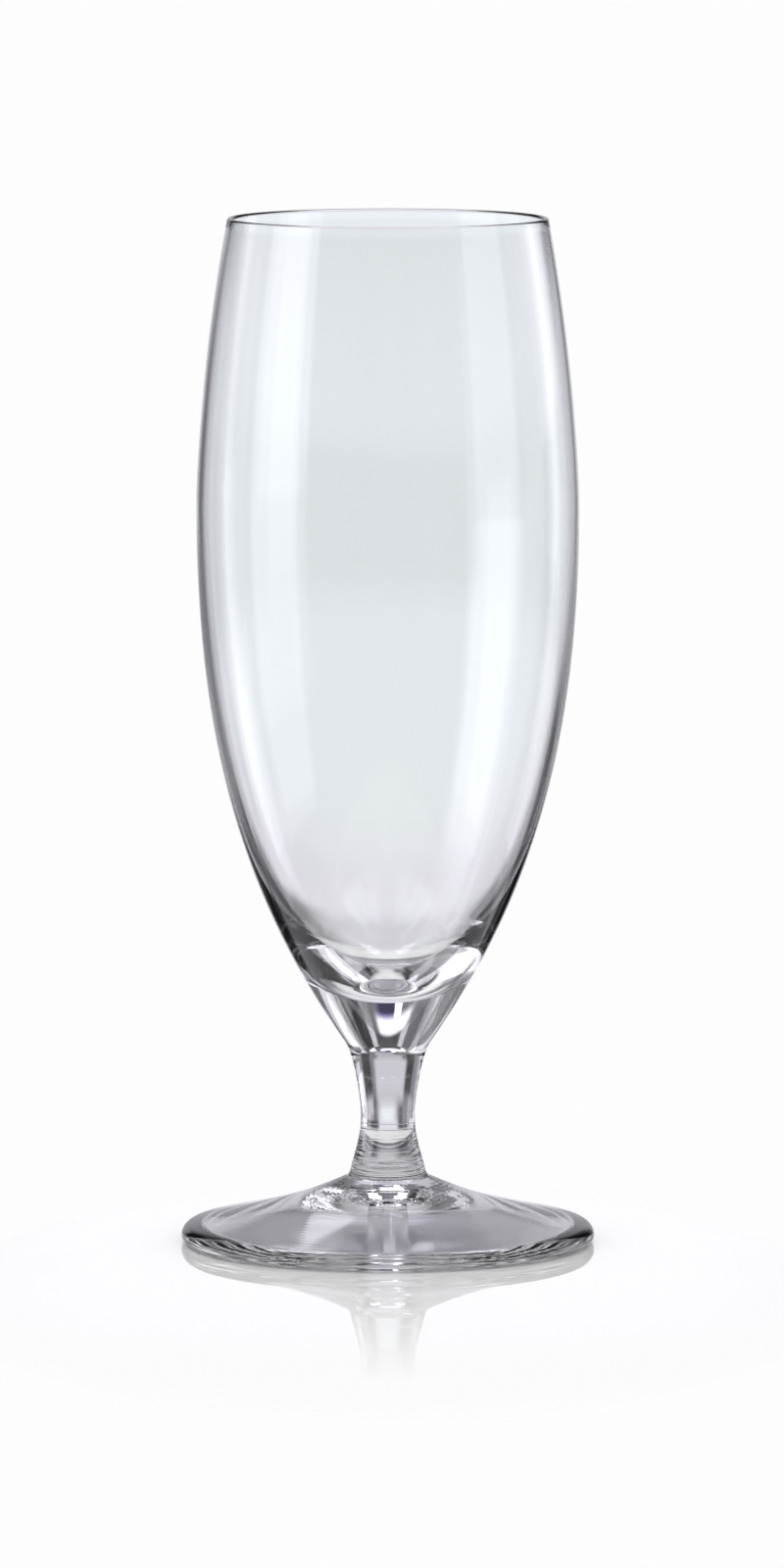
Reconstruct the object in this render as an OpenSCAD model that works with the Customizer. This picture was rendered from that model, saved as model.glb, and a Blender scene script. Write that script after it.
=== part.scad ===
// Stemmed pilsner glass: a blown bowl, a short solid stem and a pressed foot, fused end to end.
// Millimetres. The origin is the centre of the ring that the foot rests on, and +Z points up the axis.
// Every outline below is drawn as radius across and height up, then turned round the axis.

/* [Bowl] */
// Height of the bowl, from its joint with the stem to the rim
bowl_h = 152.5; // [135:0.5:175]
// Outside diameter at the rim
rim_d = 59.2; // [50:0.5:66]
// How far the outside leans in at the rim, in degrees from upright
rim_lean = 10.5; // [4:0.5:16]
// Depth of the widest place below the rim
belly_drop = 53; // [40:0.5:65]
// Outside diameter at the widest place
belly_d = 70.6; // [66:0.2:80]
// Thickness of the glass at the rim
rim_wall = 1; // [0.8:0.1:1.6]
// Thickness of the glass at the widest place
belly_wall = 1.1; // [0.8:0.1:2.4]
// Thickness of the solid glass under the hollow
bottom_t = 10.6; // [8:0.2:16]
// Radius of the rounded bottom of the hollow
hollow_tip_r = 14; // [10:0.5:16]
// How far the hollow's side leans out above its rounded bottom, in degrees from upright
hollow_lean = 58; // [48:1:62]

/* [Stem] */
// Length of the stem between its two joints
stem_len = 16; // [12:0.5:60]
// Diameter of the joint with the bowl
bowl_joint_d = 16; // [13:0.2:18]
// How far the outside leans out where it passes into the bowl, in degrees from upright
bowl_joint_lean = 35; // [28:1:42]
// Diameter at the waist, where the stem is thinnest
waist_d = 10; // [7:0.2:10]
// Height of the waist above the joint with the foot
waist_rise = 3; // [2:0.5:6]
// Diameter of the joint with the foot
foot_joint_d = 10.2; // [10:0.1:12]
// How far the outside leans out where it passes into the foot, in degrees from upright
foot_joint_lean = 7; // [3:1:12]
// Depth of the fine groove round the joint with the foot
seam_groove = 0.12; // [0.04:0.02:0.3]

/* [Foot] */
// Outside diameter of the foot
foot_d = 76.6; // [60:0.2:90]
// Height of the foot, from the table to its joint with the stem
foot_h = 21.5; // [18:0.5:28]
// Height at which the stub meets the cone
neck_h = 12.6; // [11:0.1:16]
// Diameter at which the stub meets the cone
neck_d = 14.4; // [13:0.2:18]
// How far the stub leans out at its lower end, in degrees from upright
neck_lean = 14; // [8:1:20]
// How far the small fillet between stub and cone reaches each way
neck_fillet = 0.8; // [0.4:0.1:1.5]
// Slope of the cone next to the stub, in degrees from level
cone_top_slope = 24; // [18:0.5:32]
// Slope of the cone next to the edge, in degrees from level
cone_edge_slope = 12.5; // [8:0.5:16]
// Radius of the edge above its widest line
edge_top_r = 2.2; // [1.5:0.1:3]
// Radius of the edge below its widest line
edge_under_r = 1.4; // [1:0.1:2.5]
// Width of the flat ring that the foot rests on
rest_w = 3; // [1.5:0.5:6]
// Depth of the domed hollow under the foot
underside_h = 7; // [3:0.5:9]

/* [Hidden] */

// Height of each joint above the table
foot_joint_z = foot_h;
bowl_joint_z = foot_h + stem_len;
// Straight steps in each curve of an outline, in each small arc, and round the axis
curve_steps = 32;
arc_steps = 12;
$fn = 180;

// How far each end of a curve pulls along its own direction, as a share of the height it spans
rim_pull_share = 0.52;
belly_upper_share = 0.06;
belly_lower_share = 0.4;
joint_pull_share = 0.36;
hollow_belly_share = 0.4;
hollow_tip_share = 0.26;
waist_pull_share = 0.125;
stem_top_share = 0.25;
stub_pull_share = 0.32;
// The same for the cone and the underside, as a share of the radius they span
cone_top_share = 0.27;
cone_edge_share = 0.62;
underside_edge_share = 0.45;
underside_mid_share = 0.5;

// A direction that leans so many degrees outwards from straight up
function leaning(angle) = [sin(angle), cos(angle)];
// A direction that falls so many degrees outwards from level
function falling(angle) = [cos(angle), -sin(angle)];

// A smooth curve from p to q that leaves p along pull_p and comes in to q against pull_q
function curve(p, pull_p, q, pull_q) = [
    for (i = [0:curve_steps])
        let (t = i / curve_steps, s = 1 - t)
        s * s * s * p + 3 * s * s * t * (p + pull_p) + 3 * s * t * t * (q + pull_q) + t * t * t * q
];

// A round stretch about a centre, from one angle to another
function arc(centre, radius, from, to) = [
    for (i = [0:arc_steps])
        let (a = from + (to - from) * i / arc_steps)
        centre + radius * [cos(a), sin(a)]
];

// The bowl stands on its joint: up the outside, over the rounded rim, and down the hollow to its rounded tip
module bowl() {
    belly_z = bowl_h - belly_drop;
    joint = [bowl_joint_d / 2, 0];
    belly = [belly_d / 2, belly_z];
    inner_belly = [belly_d / 2 - belly_wall, belly_z];
    rim_r = rim_wall / 2;
    rim_centre = [rim_d / 2 - rim_r, bowl_h - rim_r];
    rim_outside = rim_centre + rim_r * falling(-rim_lean);
    rim_inside = rim_centre - rim_r * falling(-rim_lean);
    rim_pull = rim_pull_share * belly_drop * -leaning(-rim_lean);
    tip_centre = [0, bottom_t + hollow_tip_r];
    tip_side = tip_centre + hollow_tip_r * falling(hollow_lean);
    side_h = belly_z - tip_side[1];
    color([0.88, 0.91, 0.92, 0.4])
    translate([0, 0, bowl_joint_z])
    rotate_extrude()
    polygon(concat(
        [[0, 0]],
        curve(joint, joint_pull_share * belly_z * leaning(bowl_joint_lean),
            belly, [0, -belly_lower_share * belly_z]),
        curve(belly, [0, belly_upper_share * belly_drop], rim_outside, rim_pull),
        arc(rim_centre, rim_r, rim_lean, 180 + rim_lean),
        curve(rim_inside, rim_pull, inner_belly, [0, belly_upper_share * belly_drop]),
        curve(inner_belly, [0, -hollow_belly_share * side_h],
            tip_side, hollow_tip_share * side_h * leaning(hollow_lean)),
        arc(tip_centre, hollow_tip_r, -hollow_lean, -90)
    ));
}

// The stem is solid: out of the foot's stub, in to the waist and out again into the bowl
module stem() {
    waist = [waist_d / 2, waist_rise];
    foot_end = [foot_joint_d / 2, seam_groove];
    bowl_end = [bowl_joint_d / 2, stem_len];
    upper_h = stem_len - waist_rise;
    color([0.82, 0.84, 0.86, 0.5])
    translate([0, 0, foot_joint_z])
    rotate_extrude()
    polygon(concat(
        [[0, 0], [foot_joint_d / 2 - seam_groove, 0]],
        curve(foot_end, waist_rise / 3 * leaning(-foot_joint_lean), waist, [0, -waist_rise / 3]),
        curve(waist, [0, waist_pull_share * upper_h],
            bowl_end, -stem_top_share * upper_h * leaning(bowl_joint_lean)),
        [[0, stem_len]]
    ));
}

// The foot: a flat ring to rest on, a rounded edge, a low cone and the stub that carries the stem
module foot() {
    edge_r = foot_d / 2;
    under_centre = [edge_r - edge_under_r, edge_under_r];
    top_centre = [edge_r - edge_top_r, edge_under_r];
    rest_inner = under_centre[0] - rest_w;
    cone_foot = top_centre + edge_top_r * [sin(cone_edge_slope), cos(cone_edge_slope)];
    neck = [neck_d / 2, neck_h];
    cone_run = cone_foot[0] - neck[0];
    stub_end = [foot_joint_d / 2, foot_h - seam_groove];
    stub_h = foot_h - neck_h;
    fillet_up = neck + neck_fillet * leaning(-neck_lean);
    fillet_out = neck + neck_fillet * falling(cone_top_slope);
    color([0.8, 0.83, 0.85, 0.5])
    rotate_extrude()
    polygon(concat(
        curve([0, underside_h], [underside_mid_share * rest_inner, 0],
            [rest_inner, 0], [-underside_edge_share * rest_inner, underside_h / 2]),
        arc(under_centre, edge_under_r, -90, 0),
        arc(top_centre, edge_top_r, 0, 90 - cone_edge_slope),
        curve(cone_foot, -cone_edge_share * cone_run * falling(cone_edge_slope),
            fillet_out, cone_top_share * cone_run * falling(cone_top_slope)),
        curve(fillet_out, (fillet_out - neck) * -0.5, fillet_up, (fillet_up - neck) * -0.5),
        curve(fillet_up, stub_pull_share * stub_h * leaning(-neck_lean),
            stub_end, -stub_pull_share * stub_h * leaning(-foot_joint_lean)),
        [[foot_joint_d / 2 - seam_groove, foot_h], [0, foot_h]]
    ));
}

bowl();
stem();
foot();
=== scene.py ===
import math
import bpy
import numpy as np
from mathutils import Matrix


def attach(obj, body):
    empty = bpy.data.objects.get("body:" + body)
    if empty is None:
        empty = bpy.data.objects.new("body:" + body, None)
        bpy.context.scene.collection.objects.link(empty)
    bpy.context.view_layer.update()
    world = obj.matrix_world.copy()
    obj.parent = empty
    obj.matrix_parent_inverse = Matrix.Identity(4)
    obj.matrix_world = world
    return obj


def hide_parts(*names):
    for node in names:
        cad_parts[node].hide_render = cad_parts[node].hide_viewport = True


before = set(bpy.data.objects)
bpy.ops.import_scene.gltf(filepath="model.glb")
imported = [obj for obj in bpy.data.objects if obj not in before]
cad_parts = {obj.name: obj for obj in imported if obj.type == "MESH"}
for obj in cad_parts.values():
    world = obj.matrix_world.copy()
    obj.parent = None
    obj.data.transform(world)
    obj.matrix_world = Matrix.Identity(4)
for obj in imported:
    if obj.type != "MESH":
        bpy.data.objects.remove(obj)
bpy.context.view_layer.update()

# The camera stands about two metres away and a little above the rim, and looks slightly down on the glass.
# Its long lens keeps the rim and the foot as flat ellipses. Sizes are in metres and angles in degrees. The film
# is in millimetres, and the lens and the place of the glass's axis are in pixels of the picture.
IMAGE_W, IMAGE_H = 800, 1600
CAMERA_AWAY, CAMERA_UP, CAMERA_PITCH = 1.952, 0.3056, 6.437
FOCAL_PX, AXIS_PX, FILM_W = 10853, 395.75, 36
camera = bpy.data.objects.new("camera", bpy.data.cameras.new("camera"))
bpy.context.scene.collection.objects.link(camera)
camera.location = (0, -CAMERA_AWAY, CAMERA_UP)
camera.rotation_euler = (math.pi / 2 - math.radians(CAMERA_PITCH), 0, 0)
camera.data.sensor_width = FILM_W
camera.data.lens = FILM_W * FOCAL_PX / IMAGE_H
camera.data.shift_x = (IMAGE_W / 2 - AXIS_PX) / IMAGE_H
bpy.context.scene.camera = camera

# The bowl is clear glass, blown thin at the rim and left thick at the bottom, where its hollow ends in a round
# tip. Its rim is cut and fire-polished to a bead, and its solid bottom is fused to the stem.
BOWL_Z, BOWL_H = 0.0375, 0.1525
RIM_D, RIM_LEAN, RIM_WALL = 0.0592, 10.5, 0.001
BELLY_D, BELLY_DROP, BELLY_WALL = 0.0706, 0.053, 0.0011
BOWL_JOINT_D, BOWL_JOINT_LEAN = 0.016, 35
BOTTOM_T, TIP_R, HOLLOW_LEAN = 0.0106, 0.014, 58
# These pulls say how far a curve runs straight on from its end, as a share of the curve's height.
RIM_PULL, BELLY_UP, BELLY_DOWN, JOINT_PULL = 0.52, 0.06, 0.4, 0.36
HOLLOW_BELLY, HOLLOW_TIP = 0.4, 0.26
SIDE_STEPS, SHOULDER_STEPS, RIM_STEPS, TIP_STEPS, TURNS = 90, 50, 16, 24, 192
TOUCHING, SHARP_EDGE = 1e-7, 40
BOWL_TINT, GLASS_IOR = (0.97, 0.975, 0.975), 1.52
SKIN_SCALE, SKIN_ROUGH, SKIN_H = 60.0, 0.012, 2e-6
RIPPLE_SCALE, RIPPLE_H = 90.0, 8e-6


def leaning(degrees):
    """The direction that leans so far out from straight up, as radius and height: its sine and cosine."""
    return np.array([math.sin(math.radians(degrees)), math.cos(math.radians(degrees))])


def falling(degrees):
    """The direction that falls so far from level on its way out, as radius and height: its cosine and minus
    its sine."""
    return np.array([math.cos(math.radians(degrees)), -math.sin(math.radians(degrees))])


def curve(start, start_pull, end, end_pull, steps):
    """A cubic curve. With t from 0 to 1 and s = 1 - t, it is s cubed times the start, plus 3 s squared t times
    the start moved by its pull, plus 3 s t squared times the end moved by its pull, plus t cubed times the
    end."""
    start, end = np.array(start, float), np.array(end, float)
    t = np.linspace(0, 1, steps + 1)[:, None]
    s = 1 - t
    return (s**3 * start + 3 * s * s * t * (start + start_pull)
            + 3 * s * t * t * (end + end_pull) + t**3 * end)


def arc(centre, radius, first, last, steps):
    """A round stretch: the centre plus the radius times the cosine and sine of an angle from first to last."""
    a = np.radians(np.linspace(first, last, steps + 1))[:, None]
    return np.array(centre) + radius * np.hstack([np.cos(a), np.sin(a)])


def joined(*stretches):
    """The stretches of an outline end to end, with doubled points left out."""
    line = np.vstack(stretches)
    apart = np.linalg.norm(np.diff(line, axis=0), axis=1) > TOUCHING
    return line[np.concatenate([[True], apart])]


def turned(name, line):
    """A closed solid of revolution. Each point of the line, a radius and a height, goes round the axis: x is
    the radius times the cosine of the turn, y the radius times its sine, and z the height. The line starts and
    ends on the axis, in one pole each, and keeps the glass on its left."""
    r, h = line[1:-1, 0], line[1:-1, 1]
    turn = np.linspace(0, 2 * math.pi, TURNS, endpoint=False)
    rings = np.stack([np.outer(r, np.cos(turn)), np.outer(r, np.sin(turn)), np.outer(h, np.ones(TURNS))], -1)
    points = np.vstack([rings.reshape(-1, 3), [[0, 0, line[0, 1]], [0, 0, line[-1, 1]]]])
    here = np.arange(TURNS)
    after = (here + 1) % TURNS
    row = np.arange(len(r) - 1)[:, None] * TURNS
    quads = np.stack([row + here, row + after, row + TURNS + after, row + TURNS + here], -1).reshape(-1, 4)
    last_ring = (len(r) - 1) * TURNS
    first_pole = len(r) * TURNS
    first_cap = np.stack([np.full(TURNS, first_pole), after, here], -1)
    last_cap = np.stack([np.full(TURNS, first_pole + 1), last_ring + here, last_ring + after], -1)
    mesh = bpy.data.meshes.new(name)
    mesh.from_pydata(points.tolist(), [], quads.tolist() + first_cap.tolist() + last_cap.tolist())
    mesh.shade_smooth()
    mesh.set_sharp_from_angle(angle=math.radians(SHARP_EDGE))
    piece = bpy.data.objects.new(name, mesh)
    bpy.context.scene.collection.objects.link(piece)
    return piece


class Wire:
    """A socket in a node tree. Sums and products of wires add Math nodes, and node() adds any other node."""

    def __init__(self, tree, socket=None):
        self.tree, self.socket = tree, socket

    def node(self, kind, settings, inputs, output=0):
        made = self.tree.nodes.new(kind)
        for name, value in settings.items():
            setattr(made, name, value)
        for key, value in inputs.items():
            if isinstance(value, Wire):
                self.tree.links.new(value.socket, made.inputs[key])
            else:
                made.inputs[key].default_value = value
        return Wire(self.tree, made.outputs[output] if len(made.outputs) else None)

    def maths(self, operation, *others):
        return self.node("ShaderNodeMath", {"operation": operation}, dict(enumerate((self, *others))))

    def __add__(self, other):
        return self.maths("ADD", other)

    def __sub__(self, other):
        return self.maths("SUBTRACT", other)

    def __rsub__(self, other):
        return self.node("ShaderNodeMath", {"operation": "SUBTRACT"}, {0: other, 1: self})

    def __mul__(self, other):
        return self.maths("MULTIPLY", other)

    __radd__, __rmul__ = __add__, __mul__


def fresh(name):
    """A new material and the wire of its emptied node tree."""
    material = bpy.data.materials.new(name)
    material.use_nodes = True
    material.node_tree.nodes.clear()
    return material, Wire(material.node_tree)


def glass(name, tint, detail):
    """Clear glass of that tint. Its detail gives roughness, and relief in metres, from the place on it."""
    material, wire = fresh(name)
    roughness, relief = detail(wire.node("ShaderNodeTexCoord", {}, {}, "Object"))
    shader = wire.node("ShaderNodeBsdfPrincipled", {}, {
        "Base Color": (*tint, 1), "IOR": GLASS_IOR, "Transmission Weight": 1, "Roughness": roughness,
        "Normal": wire.node("ShaderNodeBump", {}, {"Strength": 1.0, "Distance": 1.0, "Height": relief})})
    wire.node("ShaderNodeOutputMaterial", {}, {"Surface": shader})
    return material


def cloud(place, stretch, scale, octaves=2.0):
    """Smooth noise about 0.5, with the place multiplied by the three factors of the stretch first."""
    drawn = place.node("ShaderNodeVectorMath", {"operation": "MULTIPLY"}, {0: place, 1: stretch})
    return place.node("ShaderNodeTexNoise", {}, {"Vector": drawn, "Scale": scale, "Detail": octaves}, 0)


def fused_face():
    """The inside of a fused joint, where one gather of glass goes on into the next and nothing shows."""
    material, wire = fresh("fused_face")
    wire.node("ShaderNodeOutputMaterial", {}, {
        "Surface": wire.node("ShaderNodeBsdfTransparent", {}, {"Color": (1, 1, 1, 1)})})
    return material


def fuse(piece, heights):
    """Gives the piece the look of a fused joint on each face whose corners all lie at one of those heights."""
    mesh = piece.data
    mesh.materials.append(clear_joint)
    z = np.zeros(len(mesh.vertices) * 3)
    mesh.vertices.foreach_get("co", z)
    corners = np.zeros(len(mesh.loops), np.int32)
    mesh.loops.foreach_get("vertex_index", corners)
    first_corners = np.zeros(len(mesh.polygons), np.int32)
    mesh.polygons.foreach_get("loop_start", first_corners)
    corner_z = z[2::3][corners]
    level = [np.logical_and.reduceat(abs(corner_z - height) < TOUCHING, first_corners) for height in heights]
    mesh.polygons.foreach_set("material_index", np.any(level, axis=0).astype(np.int32))


belly_h = BOWL_H - BELLY_DROP
joint = np.array([BOWL_JOINT_D / 2, 0])
belly = np.array([BELLY_D / 2, belly_h])
inner_belly = belly - [BELLY_WALL, 0]
belly_up = [0, BELLY_UP * BELLY_DROP]
rim_centre = np.array([RIM_D / 2 - RIM_WALL / 2, BOWL_H - RIM_WALL / 2])
rim_side = RIM_WALL / 2 * falling(-RIM_LEAN)
rim_pull = -RIM_PULL * BELLY_DROP * leaning(-RIM_LEAN)
tip_centre = np.array([0, BOTTOM_T + TIP_R])
tip_side = tip_centre + TIP_R * falling(HOLLOW_LEAN)
side_h = belly_h - tip_side[1]
bowl_line = joined(
    [[0, 0]],
    curve(joint, JOINT_PULL * belly_h * leaning(BOWL_JOINT_LEAN),
          belly, [0, -BELLY_DOWN * belly_h], SIDE_STEPS),
    curve(belly, belly_up, rim_centre + rim_side, rim_pull, SHOULDER_STEPS),
    arc(rim_centre, RIM_WALL / 2, RIM_LEAN, 180 + RIM_LEAN, RIM_STEPS),
    curve(rim_centre - rim_side, rim_pull, inner_belly, belly_up, SHOULDER_STEPS),
    curve(inner_belly, [0, -HOLLOW_BELLY * side_h],
          tip_side, HOLLOW_TIP * side_h * leaning(HOLLOW_LEAN), SIDE_STEPS),
    arc(tip_centre, TIP_R, -HOLLOW_LEAN, -90, TIP_STEPS))
bowl = turned("glass_bowl", bowl_line + [0, BOWL_Z])


def blown(place):
    """Faint upright ripples that the blowing left, and a skin that is a little less even in patches."""
    skin = cloud(place, (1, 1, 0.5), SKIN_SCALE, 3.0)
    ripples = cloud(place, (1, 1, 0.15), RIPPLE_SCALE)
    return skin * SKIN_ROUGH, ripples * RIPPLE_H + skin * SKIN_H


clear_joint = fused_face()
bowl.data.materials.append(glass("bowl_glass", BOWL_TINT, blown))
fuse(bowl, [BOWL_Z])
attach(bowl, "root")
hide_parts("bowl")

# The stem is a short solid gather of clear glass, waisted just above the foot and flared into the bowl's
# bottom. It is fused at both ends, and a fine groove is left round the lower joint.
STEM_Z, STEM_LEN = 0.0215, 0.016
WAIST_D, WAIST_RISE = 0.010, 0.003
FOOT_JOINT_D, FOOT_JOINT_LEAN, GROOVE = 0.0102, 7, 0.00006
WAIST_DOWN, WAIST_UP, STEM_TOP = 1 / 3, 0.125, 0.25
LOWER_STEPS, FLARE_STEPS = 16, 40
STEM_TINT = (0.95, 0.95, 0.965)
STREAK_SCALE, STREAK_ROUGH, STREAK_H = 700.0, 0.02, 1.5e-6
upper_h = STEM_LEN - WAIST_RISE
waist = [WAIST_D / 2, WAIST_RISE]
stem_line = joined(
    [[0, 0], [FOOT_JOINT_D / 2 - GROOVE, 0]],
    curve([FOOT_JOINT_D / 2, GROOVE], WAIST_DOWN * WAIST_RISE * leaning(-FOOT_JOINT_LEAN),
          waist, [0, -WAIST_DOWN * WAIST_RISE], LOWER_STEPS),
    curve(waist, [0, WAIST_UP * upper_h],
          [BOWL_JOINT_D / 2, STEM_LEN], -STEM_TOP * upper_h * leaning(BOWL_JOINT_LEAN), FLARE_STEPS),
    [[0, STEM_LEN]])
stem = turned("glass_stem", stem_line + [0, STEM_Z])


def drawn_out(place):
    """Fine upright streaks from the drawing of the hot gather."""
    streaks = cloud(place, (1, 1, 0.06), STREAK_SCALE, 3.0)
    return streaks * STREAK_ROUGH, streaks * STREAK_H


stem.data.materials.append(glass("stem_glass", STEM_TINT, drawn_out))
fuse(stem, [STEM_Z, BOWL_Z])
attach(stem, "root")
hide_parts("stem")

# The foot is clear glass, pressed in a turned mould: a low cone with a rounded edge, a stub that the stem is
# fused to, and a shallow hollow underneath, so that it rests on a narrow flat ring.
FOOT_D, NECK_H, NECK_D, NECK_LEAN, FILLET = 0.0766, 0.0126, 0.0144, 14, 0.0008
TOP_SLOPE, EDGE_SLOPE, EDGE_TOP_R, EDGE_UNDER_R = 24, 12.5, 0.0022, 0.0014
REST_W, UNDERSIDE_H = 0.003, 0.007
STUB_PULL, FILLET_PULL, CONE_TOP, CONE_EDGE = 0.32, 0.5, 0.27, 0.62
UNDER_EDGE, UNDER_RISE, UNDER_MID = 0.45, 0.5, 0.5
UNDER_STEPS, EDGE_UNDER_STEPS, EDGE_TOP_STEPS = 40, 16, 20
CONE_STEPS, FILLET_STEPS, STUB_STEPS = 180, 12, 140
# Low rings lie on the upper cone, and the stub has three beads, each given by its height, width and rise.
CONE_RING_W, CONE_RING_H, CONE_RINGS_OUT, CONE_RINGS_FADE = 0.0009, 0.000006, 0.019, 0.008
STUB_BEADS = ((0.0179, 0.00010, 0.00001), (0.0149, 0.00025, 0.00005), (0.0138, 0.00020, 0.00002))
FOOT_TINT = (0.97, 0.972, 0.98)
# The fine rings' pitch is in radians a metre, and their wobble in radians.
RING_PITCH, RING_H, WOBBLE_SCALE, WOBBLE = 5200, 0.8e-6, 40.0, 3
WORN_H, WORN_ROUGH, WORN_SCALE, PLAIN_ROUGH = 0.0002, 0.3, 900.0, 0.004
under_centre = np.array([FOOT_D / 2 - EDGE_UNDER_R, EDGE_UNDER_R])
top_centre = np.array([FOOT_D / 2 - EDGE_TOP_R, EDGE_UNDER_R])
rest_inner = under_centre[0] - REST_W
cone_foot = top_centre + EDGE_TOP_R * leaning(EDGE_SLOPE)
neck = np.array([NECK_D / 2, NECK_H])
run = cone_foot[0] - neck[0]
stub_h = STEM_Z - NECK_H
fillet_up = neck + FILLET * leaning(-NECK_LEAN)
fillet_out = neck + FILLET * falling(TOP_SLOPE)
cone = curve(cone_foot, -CONE_EDGE * run * falling(EDGE_SLOPE),
             fillet_out, CONE_TOP * run * falling(TOP_SLOPE), CONE_STEPS)
ring_share = np.clip((CONE_RINGS_OUT - cone[:, 0]) / CONE_RINGS_FADE, 0, 1)
cone[:, 1] += CONE_RING_H * ring_share * np.sin(2 * math.pi * cone[:, 0] / CONE_RING_W)
stub = curve(fillet_up, STUB_PULL * stub_h * leaning(-NECK_LEAN), [FOOT_JOINT_D / 2, STEM_Z - GROOVE],
             -STUB_PULL * stub_h * leaning(-FOOT_JOINT_LEAN), STUB_STEPS)
for bead_z, bead_w, bead_rise in STUB_BEADS:
    stub[:, 0] += bead_rise * np.exp(-((stub[:, 1] - bead_z) / bead_w)**2)
foot_line = joined(
    curve([0, UNDERSIDE_H], [UNDER_MID * rest_inner, 0],
          [rest_inner, 0], [-UNDER_EDGE * rest_inner, UNDER_RISE * UNDERSIDE_H], UNDER_STEPS),
    arc(under_centre, EDGE_UNDER_R, -90, 0, EDGE_UNDER_STEPS),
    arc(top_centre, EDGE_TOP_R, 0, 90 - EDGE_SLOPE, EDGE_TOP_STEPS),
    cone,
    curve(fillet_out, FILLET_PULL * (neck - fillet_out),
          fillet_up, FILLET_PULL * (neck - fillet_up), FILLET_STEPS),
    stub,
    [[FOOT_JOINT_D / 2 - GROOVE, STEM_Z], [0, STEM_Z]])
foot = turned("glass_foot", foot_line)


def pressed(place):
    """Fine rings round the axis from the turning of the mould, and a ring worn dull where the glass rests.
    The rings' relief is the sine of the radius times the pitch, with a wobble of smooth noise."""
    flat = place.node("ShaderNodeVectorMath", {"operation": "MULTIPLY"}, {0: place, 1: (1, 1, 0)})
    radius = place.node("ShaderNodeVectorMath", {"operation": "LENGTH"}, {0: flat}, "Value")
    phase = radius * RING_PITCH + cloud(place, (1, 1, 1), WOBBLE_SCALE) * WOBBLE
    worn = place.node("ShaderNodeMapRange", {}, {
        "Value": place.node("ShaderNodeSeparateXYZ", {}, {0: place}, "Z"),
        "From Min": 0.0, "From Max": WORN_H, "To Min": WORN_ROUGH, "To Max": 0.0})
    return worn * cloud(place, (1, 1, 1), WORN_SCALE, 4.0) + PLAIN_ROUGH, phase.maths("SINE") * RING_H


foot.data.materials.append(glass("foot_glass", FOOT_TINT, pressed))
fuse(foot, [STEM_Z])
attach(foot, "root")
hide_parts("foot")

# The table is a small pale sheet under the glass and in front of it, and fades out in an oval before it ends.
# It is polished, so that it mirrors the foot crisply close by, and the mirroring fades with the distance.
TABLE_MIDDLE, TABLE_HALF_W, TABLE_HALF_L = -0.060, 0.085, 0.140
OVAL_SOLID, OVAL_GONE = 0.7, 1.0
MIRROR_FULL, MIRROR_NONE = 0.055, 0.155
TABLE_WHITE, POLISH_ROUGH, POLISH_IOR = 0.995, 0.02, 1.55
table_mesh = bpy.data.meshes.new("table")
table_mesh.from_pydata([(x * TABLE_HALF_W, TABLE_MIDDLE + y * TABLE_HALF_L, 0)
                        for x, y in ((-1, -1), (1, -1), (1, 1), (-1, 1))], [], [(0, 1, 2, 3)])
table = bpy.data.objects.new("table", table_mesh)
bpy.context.scene.collection.objects.link(table)
table_paint, wire = fresh("table_paint")
spot = wire.node("ShaderNodeTexCoord", {}, {}, "Object")
across = wire.node("ShaderNodeSeparateXYZ", {}, {0: spot}, "X")
along = wire.node("ShaderNodeSeparateXYZ", {}, {0: spot}, "Y")
from_axis = (across * across + along * along).maths("SQRT")
oval_x = across * (1 / TABLE_HALF_W)
oval_y = (along - TABLE_MIDDLE) * (1 / TABLE_HALF_L)
mirror = wire.node("ShaderNodeMapRange", {}, {
    "Value": from_axis, "From Min": MIRROR_FULL, "From Max": MIRROR_NONE, "To Min": 1.0, "To Max": 0.0})
solid = wire.node("ShaderNodeMapRange", {"interpolation_type": "SMOOTHSTEP"}, {
    "Value": oval_x * oval_x + oval_y * oval_y, "From Min": OVAL_SOLID, "From Max": OVAL_GONE,
    "To Min": 1.0, "To Max": 0.0})
polish = wire.node("ShaderNodeBsdfPrincipled", {}, {
    "Base Color": (TABLE_WHITE, TABLE_WHITE, TABLE_WHITE, 1), "Roughness": 1.0, "Specular IOR Level": 0.0,
    "Alpha": solid, "Coat Weight": mirror, "Coat Roughness": POLISH_ROUGH, "Coat IOR": POLISH_IOR})
wire.node("ShaderNodeOutputMaterial", {}, {"Surface": polish})
table_mesh.materials.append(table_paint)

# The studio is plain white to the camera and to the table. What the glass bends and mirrors is a dim room with
# a pale backdrop behind, softboxes at both sides and high up, a white floor, and flags, which take light away.
WHITE, ROOM_LIGHT, BACKDROP_LIGHT = 0.984, 0.21, 0.72
CARD_TINT, BACKDROP_TINT, FRINGE_TINT = (0.97, 0.955, 1.03, 1), (0.95, 0.995, 1.025, 1), (0.66, 0.56, 1.3, 1)
MOST_HEIGHT_SOFT = 6
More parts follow.
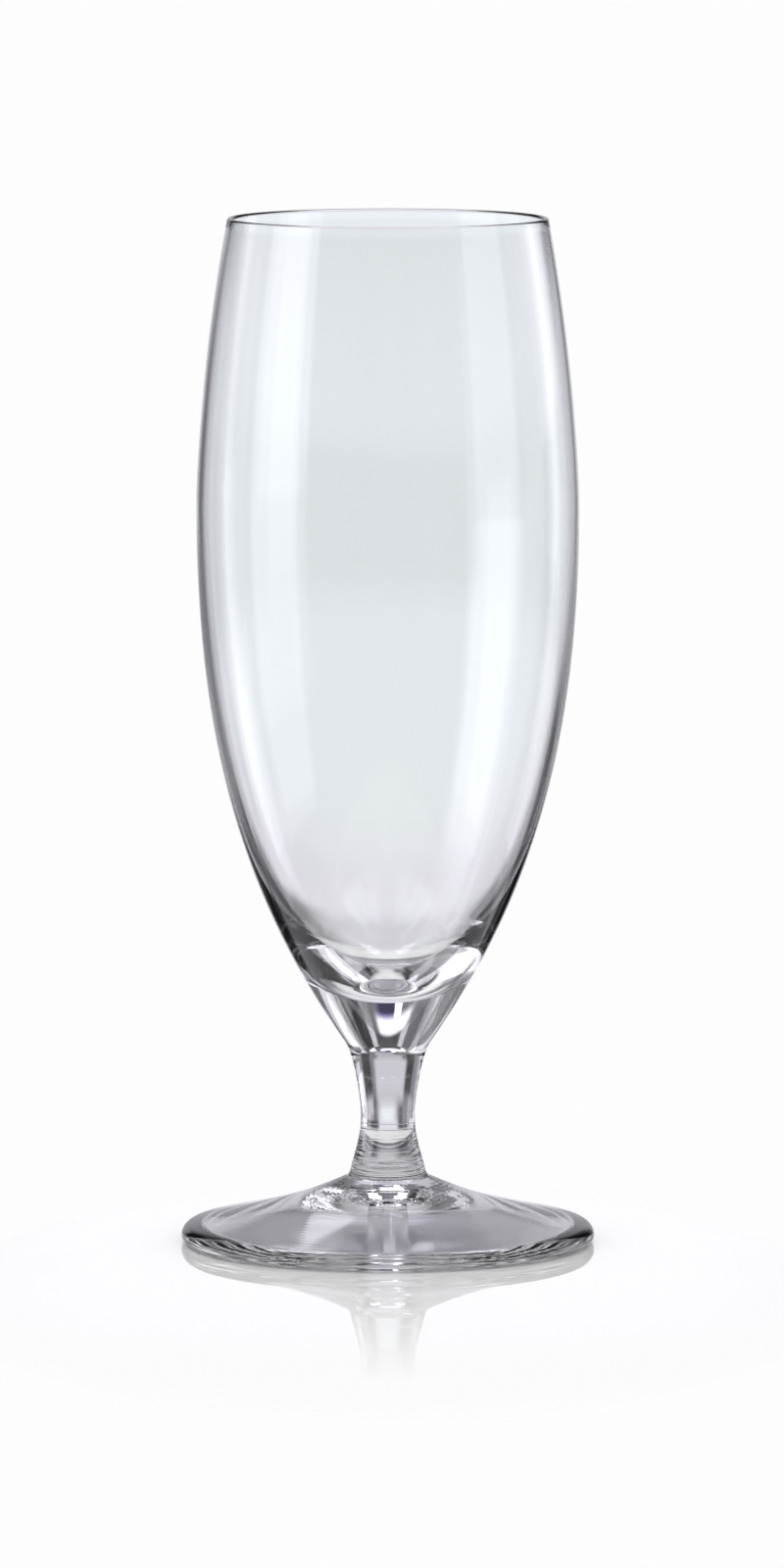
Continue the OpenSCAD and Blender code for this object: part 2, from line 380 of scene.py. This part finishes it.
# Each card is its left and right bearing, its low and high edge, its strength and the width of its soft edges.
# Bearings count from straight behind the glass to the right, and 200 lets a card run on to behind the camera.
BACKDROP_MIDDLE = (-13.5, 14.5, -10.5, -1.5, 1, 16)
BACKDROP_CARDS = ((-16, 14, -21.5, -10.5, 0.64, 7), (-7.5, 11.5, -50, -21.5, 0.55, 9),
                  (-24, 16, -1, 14, 0.44, 6), (-16, 12, 14, 20, 0.30, 4), (-6, 14.5, 20, 29.5, 0.30, 3),
                  (-26, 23, -57, -44, 0.95, 3))
TOP_CARDS = ((-18, 9, 39.5, 50, 1.5, 5), (-9.5, -4.8, 31, 39.5, 1.8, 1), (-200, 200, 69, 99, -0.15, 3))
FLOOR_CARDS = ((-200, -43, -100, -11, 0.55, 4), (43, 200, -100, -11, 0.55, 4))
HIGH_SOFTBOXES = ((100, 141, 46, 66, 2.2, 5), (-141, -100, 46, 66, 2.2, 5),
                  (20, 58, 53, 68, 6.0, 4), (-58, -20, 53, 68, 6.0, 4),
                  (143, 200, 44, 68, 0.6, 4), (-200, -143, 44, 68, 0.6, 4))
LEFT_SOFTBOXES = ((-129, -84, -20, 29, 0.45, 2), (-123, -89, -32, 22, 0.9, 2),
                  (-83, -61, -33, 24, 0.60, 1.5), (-99, -62.5, 33, 49, 0.40, 3),
                  (-49.5, -34.5, -22, 2.5, 0.25, 3))
RIGHT_SOFTBOXES = ((89.5, 128.5, -54, -5, 0.72, 1.5), (99, 117, -35.5, 0, 0.55, 1.5),
                   (40, 61, -28, 10.5, 0.60, 1.5), (46, 71, 0, 18, 0.6, 1.5), (52, 66, -8, 8, 0.6, 1.5),
                   (22, 41, -11, 1, 0.32, 3))
FLAGS = ((-200, -129.5, -9.5, 34.5, -0.45, 6), (122.5, 200, -10.5, 38, -0.6, 3),
         (80, 125, -1, 39.5, -0.4, 5), (67, 94.5, 42.5, 82.5, -0.20, 4),
         (-39.5, -22, -50, -16.5, -0.18, 7), (21.5, 29, -45.5, -8, -0.18, 3),
         (13, 24, -20, 0.5, -0.10, 3), (-24, -13, -20, 0.5, -0.10, 3),
         (22, 38, 2, 42, -0.18, 4), (-38, -22, 2, 26, -0.18, 4), (-9, 6.5, 30, 39, -0.14, 3))
TABLE_GLOW, FRINGE_PLACE = (-3, 3, 7, 12, 0.50, 3), (-4, 8, 32, 39, 1, 3)
GLASS_BOUNCES, MIRROR_BOUNCES = 32, 16
world = bpy.data.worlds.new("studio")
bpy.context.scene.world = world
world.use_nodes = True
world.node_tree.nodes.clear()
world.cycles.sampling_method = "NONE"
wire = Wire(world.node_tree)
look = wire.node("ShaderNodeTexCoord", {}, {}, "Generated")
east = wire.node("ShaderNodeSeparateXYZ", {}, {0: look}, "X")
north = wire.node("ShaderNodeSeparateXYZ", {}, {0: look}, "Y")
up = wire.node("ShaderNodeSeparateXYZ", {}, {0: look}, "Z")
bearing = east.maths("ARCTAN2", north) * math.degrees(1)
height = up.maths("ARCSINE") * math.degrees(1)


def between(value, low, high, soft):
    """1 where the value lies between low and high, and 0 outside: a smooth rise over soft about low, times
    one minus such a rise about high."""
    rise = value.node("ShaderNodeMapRange", {"interpolation_type": "SMOOTHSTEP"},
                      {"Value": value, "From Min": low - soft / 2, "From Max": low + soft / 2})
    fall = value.node("ShaderNodeMapRange", {"interpolation_type": "SMOOTHSTEP"},
                      {"Value": value, "From Min": high - soft / 2, "From Max": high + soft / 2})
    return rise * (1 - fall)


def card(left, right, low, high, strength, soft):
    """A soft-edged card between two bearings and two heights: the product of the two, times its strength."""
    width_share = between(bearing, left, right, soft)
    return width_share * between(height, low, high, min(soft, MOST_HEIGHT_SOFT)) * strength


backdrop = card(*BACKDROP_MIDDLE)
studio = backdrop * BACKDROP_LIGHT + ROOM_LIGHT
for cards in (BACKDROP_CARDS, TOP_CARDS, FLOOR_CARDS, HIGH_SOFTBOXES, LEFT_SOFTBOXES, RIGHT_SOFTBOXES, FLAGS):
    for row in cards:
        studio = studio + card(*row)
through = wire.node("ShaderNodeLightPath", {}, {}, "Is Transmission Ray")
mirrored = wire.node("ShaderNodeLightPath", {}, {}, "Is Glossy Ray")
studio = studio + mirrored * (1 - through) * card(*TABLE_GLOW)
in_glass = through.maths("MAXIMUM", mirrored)
seen = wire.node("ShaderNodeLightPath", {}, {}, "Is Camera Ray") * (WHITE - 1) + 1
strength = in_glass * studio.maths("MAXIMUM", 0.0) + (1 - in_glass) * seen
cards_tint = wire.node("ShaderNodeMix", {"data_type": "RGBA"}, {
    0: backdrop, 6: CARD_TINT, 7: BACKDROP_TINT}, 2)
fringe = wire.node("ShaderNodeMix", {"data_type": "RGBA"}, {
    0: card(*FRINGE_PLACE), 6: cards_tint, 7: FRINGE_TINT}, 2)
tint = wire.node("ShaderNodeMix", {"data_type": "RGBA"}, {0: in_glass, 6: (1, 1, 1, 1), 7: fringe}, 2)
light = wire.node("ShaderNodeBackground", {}, {"Color": tint, "Strength": strength}, 0)
wire.node("ShaderNodeOutputWorld", {}, {"Surface": light})

bpy.context.scene.view_settings.view_transform = "Standard"
bpy.context.scene.cycles.max_bounces = GLASS_BOUNCES
bpy.context.scene.cycles.transmission_bounces = GLASS_BOUNCES
bpy.context.scene.cycles.transparent_max_bounces = GLASS_BOUNCES
bpy.context.scene.cycles.glossy_bounces = MIRROR_BOUNCES
